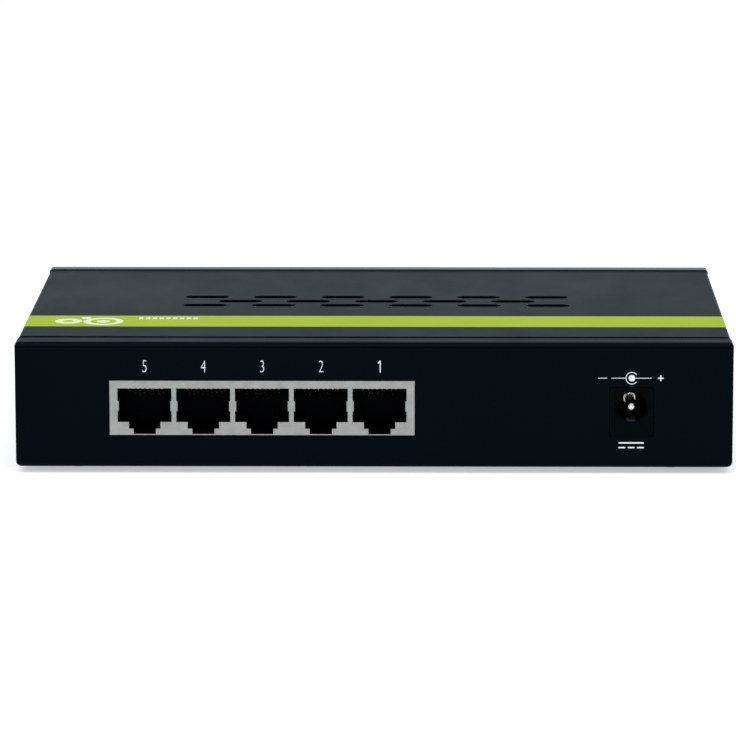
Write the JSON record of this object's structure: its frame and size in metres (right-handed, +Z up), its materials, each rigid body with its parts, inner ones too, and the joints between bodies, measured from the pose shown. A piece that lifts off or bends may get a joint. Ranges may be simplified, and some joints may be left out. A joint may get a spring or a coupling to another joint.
{
  "type": "desktop network switch",
  "caption": "Flat folded-steel desktop network switch with a row of shielded modular ports and a round power inlet on one long side and a bezel with indicator windows on the other.",
  "frame": {"origin": "centre of the footprint, on the plane the rubber feet rest on", "axes": "+X to the right when looking at the port panel, -Y out of the port panel, +Y out of the front bezel, +Z up"},
  "size_m": [0.154, 0.0962, 0.0289],
  "materials": {
    "case_paint": "satin dark slate powder coat",
    "bezel_plastic": "moulded black, satin gloss",
    "black_screw": "black oxide",
    "label_film": "plain silver-white film",
    "board_laminate": "green solder mask",
    "plated_steel": "zinc plated",
    "jack_plastic": "moulded black",
    "tinned_shield": "tinned sheet",
    "clear_guide": "clear moulding",
    "lamp_chip": "clear epoxy",
    "pin_nickel": "nickel plated",
    "spring_nickel": "nickel plated",
    "chip_epoxy": "black epoxy",
    "module_epoxy": "black epoxy",
    "pad_silicone": "soft silicone",
    "sink_aluminium": "anodised",
    "can_steel": "drawn can",
    "can_aluminium": "drawn can",
    "ferrite": "ferrite",
    "component_ceramic": "ceramic",
    "carrier_plastic": "moulded black",
    "contact_gold": "gold plated",
    "foot_rubber": "matte"
  },
  "bodies": {
    "case": {"base_tray": "case_paint", "board_screws": "plated_steel", "board_standoffs": "plated_steel", "chip_components": "component_ceramic", "circuit_board": "board_laminate", "cover_screws": "black_screw", "crystal": "can_steel", "electrolytic_capacitors": "can_aluminium", "foot_front_left": "foot_rubber", "foot_front_right": "foot_rubber", "foot_rear_left": "foot_rubber", "foot_rear_right": "foot_rubber", "front_bezel": "bezel_plastic", "heatsink": "sink_aluminium", "memory_chip": "chip_epoxy", "port_1_contact_carrier": "carrier_plastic", "port_1_leads": "contact_gold", "port_1_light_pipe": "clear_guide", "port_1_magnetics": "module_epoxy", "port_2_contact_carrier": "carrier_plastic", "port_2_leads": "contact_gold", "port_2_light_pipe": "clear_guide", "port_2_magnetics": "module_epoxy", "port_3_contact_carrier": "carrier_plastic", "port_3_leads": "contact_gold", "port_3_light_pipe": "clear_guide", "port_3_magnetics": "module_epoxy", "port_4_contact_carrier": "carrier_plastic", "port_4_leads": "contact_gold", "port_4_light_pipe": "clear_guide", "port_4_magnetics": "module_epoxy", "port_5_contact_carrier": "carrier_plastic", "port_5_leads": "contact_gold", "port_5_light_pipe": "clear_guide", "port_5_magnetics": "module_epoxy", "port_housing": "jack_plastic", "port_shield": "tinned_shield", "power_inductor": "ferrite", "power_jack_housing": "jack_plastic", "power_jack_pin": "pin_nickel", "power_jack_terminals": "pin_nickel", "power_light_pipe": "clear_guide", "status_lamps": "lamp_chip", "switch_chip": "chip_epoxy", "thermal_pad": "pad_silicone", "top_cover": "case_paint", "underside_label": "label_film", "voltage_regulators": "chip_epoxy"},
    "port_1_contacts": {"port_1_contacts": "contact_gold"},
    "port_2_contacts": {"port_2_contacts": "contact_gold"},
    "port_3_contacts": {"port_3_contacts": "contact_gold"},
    "port_4_contacts": {"port_4_contacts": "contact_gold"},
    "port_5_contacts": {"port_5_contacts": "contact_gold"},
    "inlet_spring": {"power_jack_spring": "spring_nickel"}
  },
  "joints": [
    {"name": "port_1_contacts_flex", "type": "hinge", "parent": "case", "child": "port_1_contacts", "pos_m": [0.0012, -0.0452, 0.01815], "axis": [1, 0, 0], "range_deg": [0, 11], "stiffness_Nm_per_rad": 0.05},
    {"name": "port_2_contacts_flex", "type": "hinge", "parent": "case", "child": "port_2_contacts", "pos_m": [-0.0114, -0.0452, 0.01815], "axis": [1, 0, 0], "range_deg": [0, 11], "stiffness_Nm_per_rad": 0.05},
    {"name": "port_3_contacts_flex", "type": "hinge", "parent": "case", "child": "port_3_contacts", "pos_m": [-0.024, -0.0452, 0.01815], "axis": [1, 0, 0], "range_deg": [0, 11], "stiffness_Nm_per_rad": 0.05},
    {"name": "port_4_contacts_flex", "type": "hinge", "parent": "case", "child": "port_4_contacts", "pos_m": [-0.0366, -0.0452, 0.01815], "axis": [1, 0, 0], "range_deg": [0, 11], "stiffness_Nm_per_rad": 0.05},
    {"name": "port_5_contacts_flex", "type": "hinge", "parent": "case", "child": "port_5_contacts", "pos_m": [-0.0492, -0.0452, 0.01815], "axis": [1, 0, 0], "range_deg": [0, 11], "stiffness_Nm_per_rad": 0.05},
    {"name": "inlet_spring_flex", "type": "hinge", "parent": "case", "child": "inlet_spring", "pos_m": [0.0552, -0.0361, 0.0104], "axis": [1, 0, 0], "range_deg": [0, 4.5], "stiffness_Nm_per_rad": 0.05}
  ]
}
